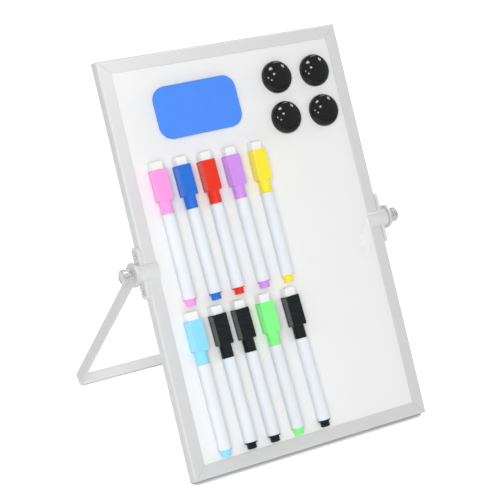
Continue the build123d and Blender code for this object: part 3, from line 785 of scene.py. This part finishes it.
class EASEL_OT_stage(bpy.types.Operator):
    """Set up the pale floor, the soft lamps and the camera"""
    bl_idname = "easel.set_stage"
    bl_label = "Stage and Camera"

    def execute(self, context):
        scene, stage = context.scene, context.scene.easel_stage
        scene.view_settings.view_transform = "Standard"
        self.light_room(scene, stage)
        self.lay_floor(scene)
        self.hang_lamps(scene)
        camera = bpy.data.cameras.new("camera")
        camera.lens = stage.lens
        camera.sensor_width = 36
        camera.clip_end = 50
        holder = bpy.data.objects.new("camera", camera)
        holder.location = stage.camera_place
        holder.rotation_euler = stage.camera_turn
        scene.collection.objects.link(holder)
        scene.camera = holder
        return {"FINISHED"}

    def light_room(self, scene, stage):
        """A white room that the camera sees as white, and that lights the object more dimly."""
        world = bpy.data.worlds.new("white_room")
        scene.world = world
        tree = empty_tree(world)
        path = tree.nodes.new("ShaderNodeLightPath").outputs
        seen = math_node(tree, "MAXIMUM", path["Is Camera Ray"], path["Is Transmission Ray"])
        level = mix_value(tree, path["Is Glossy Ray"], stage.fill, stage.gloss_room)
        level = mix_value(tree, seen, level, 1.0)
        background = add_node(tree, "ShaderNodeBackground", {"Color": (1, 1, 1, 1), "Strength": level})
        add_node(tree, "ShaderNodeOutputWorld", {0: background.outputs[0]})

    def lay_floor(self, scene):
        """A pale floor that the camera sees as white, apart from the shadows on it: real shadows in its
        paint, and a painted contact shadow where its glow dims near what stands on it.
        """
        half_width = 6.0
        shade_reach, shaded, clear = 7 * MM, 0.18, 0.50   # how open a place is within that reach, 0 to 1
        glow, far_glow = 0.72, 0.12                       # of the open floor, and more of it far away
        far_from, far_to = 0.4, 1.6                       # metres from the middle
        bm = bmesh.new()
        bmesh.ops.create_grid(bm, x_segments=1, y_segments=1, size=half_width)
        mesh = bpy.data.meshes.new("floor")
        bm.to_mesh(mesh)
        bm.free()
        floor = bpy.data.objects.new("floor", mesh)
        scene.collection.objects.link(floor)
        material = bpy.data.materials.new("floor_white")
        tree = empty_tree(material)
        path = tree.nodes.new("ShaderNodeLightPath").outputs
        paint = add_node(tree, "ShaderNodeBsdfDiffuse", {"Color": (0.85, 0.85, 0.85, 1)}).outputs[0]
        backdrop_paint = add_node(tree, "ShaderNodeBsdfDiffuse", {"Color": (0.5, 0.5, 0.5, 1)}).outputs[0]
        open_sky = add_node(tree, "ShaderNodeAmbientOcclusion", {"Distance": shade_reach},
                            samples=8).outputs["AO"]
        place = tree.nodes.new("ShaderNodeTexCoord").outputs["Object"]
        away = add_node(tree, "ShaderNodeVectorMath", {0: place}, operation="LENGTH").outputs["Value"]
        # Painted contact shadow: the floor's glow dims where ambient occlusion finds something standing close
        # by.
        lit = math_node(tree, "ADD", map_range(tree, open_sky, shaded, clear, 0.0, glow),
                        map_range(tree, away, far_from, far_to, 0.0, far_glow))
        lamp = add_node(tree, "ShaderNodeEmission", {"Color": (1, 1, 1, 1), "Strength": lit}).outputs[0]
        shown = add_node(tree, "ShaderNodeAddShader", {0: backdrop_paint, 1: lamp}).outputs[0]
        surface = add_node(tree, "ShaderNodeMixShader", {0: path["Is Camera Ray"], 1: paint, 2: shown})
        add_node(tree, "ShaderNodeOutputMaterial", {0: surface.outputs[0]})
        mesh.materials.append(material)

    def hang_lamps(self, scene):
        """Soft boxes: direction from the board's middle, width and height (m), watts, and what they light."""
        middle, distance = Vector((0, 0, 0.15)), 1.4
        lamps = (
            ("top_box", (0.10, -0.375, 0.92), 0.27, 0.20, 2.6, "gloss"),
            ("right_box", (0.93, 0.02, 0.30), 0.60, 0.60, 7.0, "diffuse"),
            ("right_card", (0.753, -0.083, 0.652), 0.20, 0.18, 1.1, "gloss"),
            ("front_card", (0.19, -0.649, 0.736), 0.18, 0.13, 1.3, "gloss"),
            ("left_lamp", (-0.225, -0.739, 0.635), 0.13, 0.12, 0.9, "gloss"),
            ("low_lamp", (-0.04, -0.86, 0.508), 0.11, 0.11, 0.6, "gloss"),
            ("left_box", (-0.97, 0.17, 0.10), 0.45, 1.0, 2.4, "both"),
            ("crown_strip", (0.50, 0.20, 0.84), 0.14, 0.50, 2.3, "gloss"),
            ("front_fill", (-0.50, -0.76, 0.43), 0.70, 0.70, 13.7, "diffuse"),
            ("back_box", (0.10, 0.93, 0.35), 0.80, 0.80, 7.0, "diffuse"),
        )
        for name, direction, width, height, power, lights in lamps:
            lamp = bpy.data.lights.new(name, "AREA")
            lamp.shape = "RECTANGLE"
            lamp.size, lamp.size_y, lamp.energy = width, height, power
            holder = bpy.data.objects.new(name, lamp)
            holder.location = middle + Vector(direction).normalized() * distance
            holder.rotation_euler = (middle - holder.location).to_track_quat("-Z", "Y").to_euler()
            holder.visible_glossy = lights != "diffuse"
            holder.visible_diffuse = lights != "gloss"
            scene.collection.objects.link(holder)


OPERATORS = (EASEL_OT_frame, EASEL_OT_brackets, EASEL_OT_stand, EASEL_OT_magnets, EASEL_OT_eraser,
             EASEL_OT_markers, EASEL_OT_stage)


class EASEL_PT_steps(bpy.types.Panel):
    """Lists the steps that dress the easel"""
    bl_label = "Whiteboard Easel"
    bl_idname = "EASEL_PT_steps"
    bl_space_type = "VIEW_3D"
    bl_region_type = "UI"
    bl_category = "Easel"

    def draw(self, context):
        for step in OPERATORS:
            self.layout.operator(step.bl_idname)
        for name, group in SETTINGS.items():
            box = self.layout.box()
            for setting in group.__annotations__:
                box.prop(getattr(context.scene, name), setting)


CLASSES = (*SETTINGS.values(), *OPERATORS, EASEL_PT_steps)


def register():
    for cls in CLASSES:
        bpy.utils.register_class(cls)
    for name, group in SETTINGS.items():
        setattr(bpy.types.Scene, name, PointerProperty(type=group))


def unregister():
    for name in SETTINGS:
        delattr(bpy.types.Scene, name)
    for cls in reversed(CLASSES):
        bpy.utils.unregister_class(cls)


def main():
    register()
    for step in OPERATORS:
        area, name = step.bl_idname.split(".")
        getattr(getattr(bpy.ops, area), name)()


if __name__ == "__main__":
    main()
